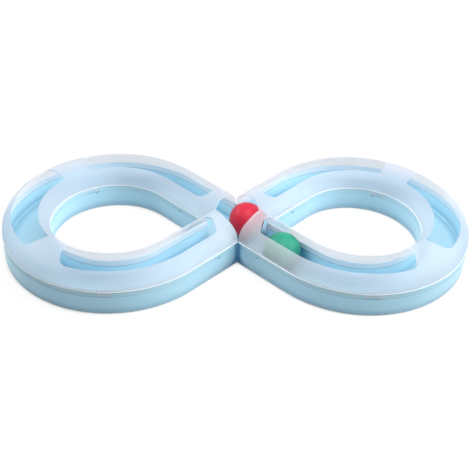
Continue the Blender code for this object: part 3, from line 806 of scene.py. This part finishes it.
def mark_highlight_and_shaded_skirt(item, edge, shaded_skirt):
    """The lip and the cut walls at the crossing get a painted highlight, and the skirt a darker,
    bluer frost as painted shade.
    """
    item.data.materials.append(edge)
    item.data.materials.append(shaded_skirt)
    for face in item.data.polygons:
        place = face.center
        upright = abs(face.normal.z) < UPRIGHT and place.z > RIM_HEIGHT + 2.0 * LEDGE
        if place.z < RIM_HEIGHT - WELD:
            face.material_index = 2
        elif place.z < RIM_HEIGHT + LIP_HEIGHT + WELD:
            face.material_index = 1
        elif upright and math.hypot(place.x, place.y) < COVER_HALF_WIDTH:
            face.material_index = 1


def opaque(colour):
    return (*colour, 1.0)


def grey(level):
    return (level, level, level, 1.0)


def set_inputs(tree, node, inputs):
    """Link each input to another node's output, or give it a value."""
    for name, value in inputs.items():
        if isinstance(value, bpy.types.NodeSocket):
            tree.links.new(value, node.inputs[name])
        else:
            node.inputs[name].default_value = value


def add_node(tree, kind, inputs, **settings):
    node = tree.nodes.new("ShaderNode" + kind)
    for name, value in settings.items():
        setattr(node, name, value)
    set_inputs(tree, node, inputs)
    return node


def math_of(tree, operation, *values, clamp=False):
    inputs = dict(enumerate(values))
    return add_node(tree, "Math", inputs, operation=operation, use_clamp=clamp).outputs[0]


def mapped(tree, value, source, target):
    """A value taken from the source range to the target range and held at its ends."""
    return add_node(tree, "MapRange", {
        "Value": value,
        "From Min": source[0], "From Max": source[1],
        "To Min": target[0], "To Max": target[1],
    }).outputs["Result"]


def blended(tree, share, first, second):
    """Two colours mixed."""
    inputs = {"Factor": share, "A": first, "B": second}
    return add_node(tree, "Mix", inputs, data_type="RGBA").outputs["Result"]


def mixed(tree, share, first, second):
    """Two shaders mixed."""
    return add_node(tree, "MixShader", {"Fac": share, 1: first, 2: second}).outputs["Shader"]


def openness(tree, reach):
    """One in the open, and less where other faces are nearer than reach."""
    return add_node(
        tree, "AmbientOcclusion", {"Distance": reach}, samples=OPEN_SAMPLES
    ).outputs["AO"]


def moulded(name, colour, finish, extra):
    """Moulded plastic: slight colour and gloss variation and a fine surface grain."""
    roughness, variation, grain_scale, grain_strength = finish
    material = bpy.data.materials.new(name)
    material.use_nodes = True
    tree = material.node_tree
    place = add_node(tree, "TexCoord", {}).outputs["Object"]
    cloud = add_node(tree, "TexNoise", {
        "Vector": place, "Scale": CLOUD_SCALE, "Detail": CLOUD_DETAIL,
    }).outputs["Fac"]
    ramp = add_node(tree, "ValToRGB", {"Fac": cloud})
    shades = (1.0 - variation, 1.0 + variation)
    for stop, position, shade in zip(ramp.color_ramp.elements, CLOUD_STOPS, shades):
        stop.position = position
        stop.color = opaque([min(1.0, part * shade) for part in colour])
    gloss_range = (roughness - GLOSS_VARIATION, roughness + GLOSS_VARIATION)
    gloss = mapped(tree, cloud, (0.0, 1.0), gloss_range)
    grain = add_node(tree, "TexNoise", {
        "Vector": place, "Scale": grain_scale, "Detail": GRAIN_DETAIL,
    }).outputs["Fac"]
    relief = add_node(tree, "Bump", {
        "Height": grain, "Strength": grain_strength, "Distance": GRAIN_DEPTH,
    }).outputs["Normal"]
    set_inputs(tree, tree.nodes["Principled BSDF"], {
        "Base Color": ramp.outputs["Color"], "Roughness": gloss, "Normal": relief, **extra,
    })
    return material


def paint_shade_in_corners(material, painted_shade, reach, shade_fade_height):
    """Painted shade: the colour turns deeper where walls stand close together, less so near the
    ground, and more at the crossing.
    """
    tree = material.node_tree
    shader = tree.nodes["Principled BSDF"]
    even = shader.inputs["Base Color"].links[0].from_socket
    closed = mapped(tree, openness(tree, reach), SHADE_OPEN_RANGE, (1.0, 0.0))
    place = add_node(tree, "TexCoord", {}).outputs["Object"]
    split = add_node(tree, "SeparateXYZ", {"Vector": place}).outputs
    above_ground = mapped(tree, split["Z"], (0.0, shade_fade_height), (GROUND_SHADE_WEIGHT, 1.0))
    aside = math_of(tree, "ABSOLUTE", split["X"])
    at_crossing = mapped(tree, aside, (0.0, CROSSING_SHADE_REACH), (CROSSING_SHADE_WEIGHT, 0.0))
    weight = math_of(tree, "MAXIMUM", above_ground, at_crossing)
    depth = math_of(tree, "MULTIPLY", closed, weight, clamp=True)
    colour = blended(tree, depth, even, opaque(painted_shade))
    set_inputs(tree, shader, {"Base Color": colour})


def thin_frosted(material):
    """Frosted thin wall: its near face scatters part of the light back and part through."""
    tree = material.node_tree
    tint = opaque(FROST_THROUGH)
    wide = add_node(tree, "BsdfTranslucent", {"Color": tint}).outputs["BSDF"]
    straight = add_node(tree, "BsdfRefraction", {
        "Color": tint, "Roughness": FROST_BLUR, "IOR": FROST_IOR,
    }).outputs["BSDF"]
    through = mixed(tree, FROST_FORWARD, wide, straight)
    near = mixed(tree, FROST_SHARE, tree.nodes["Principled BSDF"].outputs["BSDF"], through)
    clear = add_node(tree, "BsdfTransparent", {}).outputs["BSDF"]
    far_face = add_node(tree, "NewGeometry", {}).outputs["Backfacing"]
    wall = mixed(tree, far_face, near, clear)
    set_inputs(tree, tree.nodes["Material Output"], {"Surface": wall})


def seen_directly(tree):
    """One for what the camera sees, also in gloss or through clear material."""
    path = add_node(tree, "LightPath", {}).outputs
    sharp = math_of(tree, "MAXIMUM", path["Is Glossy Ray"], path["Is Transmission Ray"])
    either = math_of(tree, "MAXIMUM", path["Is Camera Ray"], sharp)
    return math_of(tree, "SUBTRACT", either, path["Is Diffuse Ray"], clamp=True)


def studio_floor():
    """White to the camera, mid grey to the light, and it keeps the object's shadow."""
    material = bpy.data.materials.new("studio_floor")
    material.use_nodes = True
    tree = material.node_tree
    shader = tree.nodes["Principled BSDF"]
    seen = seen_directly(tree)
    set_inputs(tree, shader, {
        "Base Color": blended(tree, seen, grey(FLOOR_TO_LIGHT), grey(FLOOR_TO_CAMERA)),
        "Roughness": FLOOR_ROUGHNESS,
        "Specular IOR Level": 0.0,
    })
    white = add_node(tree, "Emission", {"Color": grey(1.0), "Strength": 1.0}).outputs["Emission"]
    bare = math_of(tree, "MULTIPLY", openness(tree, CONTACT_REACH), FLOOR_WHITE_SHARE)
    share = math_of(tree, "MULTIPLY", seen, bare)
    floor = mixed(tree, share, shader.outputs["BSDF"], white)
    set_inputs(tree, tree.nodes["Material Output"], {"Surface": floor})
    return material


def make_floor():
    signs = [(-1, -1), (1, -1), (1, 1), (-1, 1)]
    corners = [(FLOOR_HALF * x, FLOOR_HALF * y, 0) for x, y in signs]
    ground = bpy.data.meshes.new("floor")
    ground.from_pydata(corners, [], [(0, 1, 2, 3)])
    ground.materials.append(studio_floor())
    floor_object = add_object("floor", ground, pieces)


def make_world():
    """A pale light, brighter from above the right rear, and a white backdrop for the camera."""
    world = bpy.data.worlds.new("studio")
    bpy.context.scene.world = world
    world.use_nodes = True
    tree = world.node_tree
    light = tree.nodes["Background"]
    direction = add_node(tree, "TexCoord", {}).outputs["Generated"]
    towards = add_node(
        tree, "VectorMath", {0: direction, 1: WORLD_TOWARDS}, operation="DOT_PRODUCT"
    ).outputs["Value"]
    level = mapped(tree, towards, (-1.0, 1.0), (WORLD_DIM, WORLD_BRIGHT))
    set_inputs(tree, light, {"Color": grey(1.0), "Strength": level})
    white = add_node(tree, "Background", {"Color": grey(1.0), "Strength": 1.0})
    backdrop = mixed(
        tree, seen_directly(tree), light.outputs["Background"], white.outputs["Background"]
    )
    set_inputs(tree, tree.nodes["World Output"], {"Surface": backdrop})


def make_lamp(name, place, size, power):
    data = bpy.data.lights.new(name, "AREA")
    data.shape = "DISK"
    data.size = size
    data.energy = power
    lamp = add_object(name, data, bpy.context.scene.collection)
    lamp.location = place
    lamp.rotation_euler = (-Vector(place)).to_track_quat("-Z", "Y").to_euler()


def make_camera():
    level = math.cos(ELEVATION)
    back = Vector((math.sin(YAW) * level, -math.cos(YAW) * level, math.sin(ELEVATION)))
    right = Vector((math.cos(YAW), math.sin(YAW), 0.0))
    up = back.cross(right)
    turned_right = right * math.cos(ROLL) + up * math.sin(ROLL)
    turned_up = up * math.cos(ROLL) - right * math.sin(ROLL)
    facing = Matrix((turned_right, turned_up, back)).transposed()
    data = bpy.data.cameras.new("camera")
    data.sensor_fit = "HORIZONTAL"
    data.sensor_width = SENSOR
    data.lens = FOCAL_PIXELS * SENSOR / IMAGE_PIXELS
    data.shift_x = (IMAGE_PIXELS / 2.0 - CENTRE_PIXEL[0]) / IMAGE_PIXELS
    data.shift_y = (CENTRE_PIXEL[1] - IMAGE_PIXELS / 2.0) / IMAGE_PIXELS
    data.clip_start = CLIP_START
    camera = add_object("camera", data, bpy.context.scene.collection)
    camera.matrix_world = Matrix.Translation(back * CAMERA_DISTANCE) @ facing.to_4x4()
    bpy.context.scene.camera = camera


blue = moulded("blue_channel_plastic", BLUE, BASE_FINISH, BASE_GLOW)
# Painted shade: the blue turns darker where walls stand close and at the crossing
paint_shade_in_corners(blue, BLUE_PAINTED_SHADE, BLUE_SHADE_REACH, BLUE_SHADE_FADE)
# A darker copy of the blue for the channel's inner walls and floor: painted shade
inside = moulded("blue_channel_shaded_inside", INSIDE, BASE_FINISH, BASE_GLOW)
# Painted shade in the corners of the channel's inside too
paint_shade_in_corners(inside, INSIDE_PAINTED_SHADE, INSIDE_SHADE_REACH, INSIDE_SHADE_FADE)
frost = moulded("frosted_cover_plastic", FROST, FROST_FINISH, {})
thin_frosted(frost)
# A paler, bluer frost for the lip and the cut walls: a painted highlight
frost_edge_highlight = moulded("frosted_cover_edge_highlight", FROST_EDGE_HIGHLIGHT, EDGE_FINISH, {})
# A darker, bluer frost for the skirt inside the channel: painted shade
shaded_skirt = moulded("frosted_cover_shaded_skirt", SKIRT_SHADED_FROST, EDGE_FINISH, {})
red = moulded("red_ball_plastic", RED, BALL_FINISH, BALL_GLOSS)
green = moulded("green_ball_plastic", GREEN, BALL_FINISH, BALL_GLOSS)
rubber = moulded("grey_pad_rubber", RUBBER, RUBBER_FINISH, {})

crossing_opening = flat_outline(
    "opening", opening_outline(), SKIRT_FOOT - OVERCUT, COVER_HEIGHT + OVERCUT
)
for side_name, side in SIDES:
    trough = make_base(side_name, side)
    set_material(trough, blue)
    mark_shaded_inside(trough, inside)
    dome = make_cover(side_name, side, crossing_opening)
    set_material(dome, frost)
    mark_highlight_and_shaded_skirt(dome, frost_edge_highlight, shaded_skirt)
    make_pads(side_name, side, rubber)
make_ball("red", red)
make_ball("green", green)
for cutter in list(cutters.objects):
    bpy.data.objects.remove(cutter, do_unlink=True)
bpy.data.collections.remove(cutters)

make_floor()
make_world()
for lamp_name, lamp_place, lamp_size, lamp_power in LAMPS:
    make_lamp(lamp_name, lamp_place, lamp_size, lamp_power)
make_camera()
bpy.context.scene.view_settings.view_transform = "Standard"
